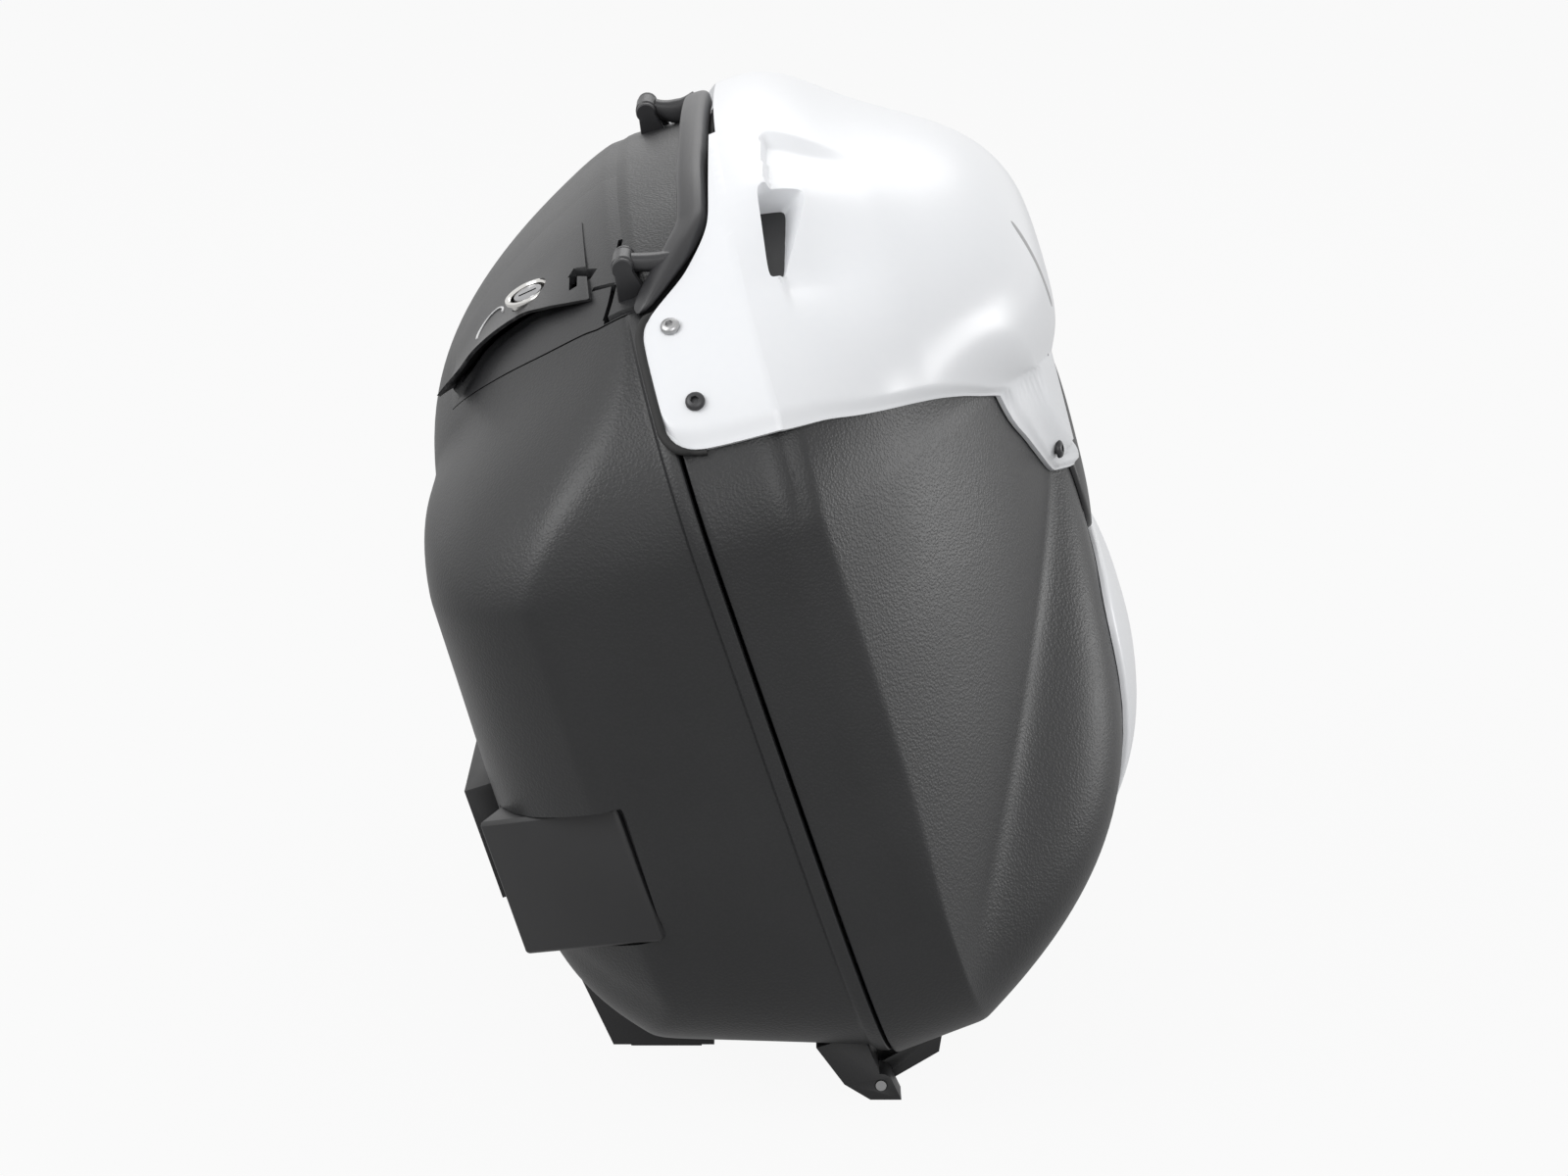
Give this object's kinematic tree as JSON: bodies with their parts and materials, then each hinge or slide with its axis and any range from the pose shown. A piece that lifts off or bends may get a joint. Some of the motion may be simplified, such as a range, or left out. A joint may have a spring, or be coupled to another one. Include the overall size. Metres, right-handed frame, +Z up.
{
  "type": "motorcycle saddlebag",
  "caption": "Hard side case for a motorcycle with a hinged lid, white cover, folding handle, key-locked release lever and carrier mounts.",
  "frame": {"origin": "middle of the bounding box on the ground the case stands on", "axes": "+X from the motorcycle side to the lid side, +Y along the motorcycle from the end with the release lever to the other end, +Z up"},
  "size_m": [0.2976, 0.448, 0.3904],
  "materials": {
    "grained_plastic": "fine leather grain, satin",
    "black_plastic": "smooth satin",
    "rubber": "matte",
    "white_paint": "gloss white paint",
    "steel": "satin",
    "dark_steel": "black coated",
    "chrome": "polished"
  },
  "bodies": {
    "case": {"inner_shell": "grained_plastic", "rim_seal": "rubber", "latch_housing": "grained_plastic", "catch_guide": "black_plastic", "handle_socket_near": "black_plastic", "handle_socket_far": "black_plastic", "handle_pin_near": "steel", "handle_pin_far": "steel", "hinge_bracket_near": "black_plastic", "hinge_bracket_far": "black_plastic", "hinge_pin_near": "steel", "hinge_pin_far": "steel", "foot_runner": "black_plastic", "foot_pad_near": "rubber", "foot_pad_far": "rubber", "mount_block_near": "black_plastic", "mount_block_far": "black_plastic", "carrier_rail": "black_plastic", "rail_screw_1": "steel", "rail_screw_2": "steel", "rail_screw_3": "steel", "rail_screw_4": "steel"},
    "lid": {"lid_shell": "grained_plastic", "top_cover": "white_paint", "cover_trim": "rubber", "cover_screw_1": "steel", "cover_screw_2": "dark_steel", "cover_screw_3": "dark_steel", "cover_screw_4": "dark_steel", "cover_screw_5": "dark_steel", "cover_screw_6": "dark_steel", "outer_panel": "white_paint", "side_strip": "black_plastic", "lid_keeper": "dark_steel", "hinge_leaf_near": "black_plastic", "hinge_leaf_far": "black_plastic"},
    "handle": {"carry_handle": "black_plastic"},
    "lever": {"release_lever": "grained_plastic", "lock_barrel": "chrome", "bolt_guide": "black_plastic"},
    "plug": {"lock_plug": "steel", "lock_cam": "steel"},
    "bolt": {"lock_bolt": "steel"},
    "catch": {"lid_catch": "dark_steel"}
  },
  "joints": [
    {"name": "lid_swing", "type": "hinge", "parent": "case", "child": "lid", "pos_m": [0.03768, 0, 0.00618], "axis": [0, 1, 0], "range_deg": [0, 40]},
    {"name": "handle_fold", "type": "hinge", "parent": "case", "child": "handle", "pos_m": [-0.06382, -0.148, 0.34122], "axis": [-0.0207, -0.9823, -0.1862], "range_deg": [0, 90]},
    {"name": "lever_lift", "type": "hinge", "parent": "case", "child": "lever", "pos_m": [-0.1004, -0.07366, 0.3306], "axis": [-0.6466, 0.3208, -0.6921], "range_deg": [0, 35]},
    {"name": "plug_turn", "type": "hinge", "parent": "lever", "child": "plug", "pos_m": [-0.10336, -0.09983, 0.31879], "axis": [-0.4148, -0.2005, 0.8875], "range_deg": [0, 90]},
    {"name": "bolt_slide", "type": "slide", "parent": "lever", "child": "bolt", "axis": [0.9511, 0, 0.309], "range_m": [0, 0.006]},
    {"name": "catch_slide", "type": "slide", "parent": "case", "child": "catch", "axis": [0.9511, 0, 0.309], "range_m": [0, 0.01]}
  ],
  "couplings": [
    {"joint": "bolt_slide", "follows": "plug_turn", "m_per_rad": 0.003819}
  ]
}
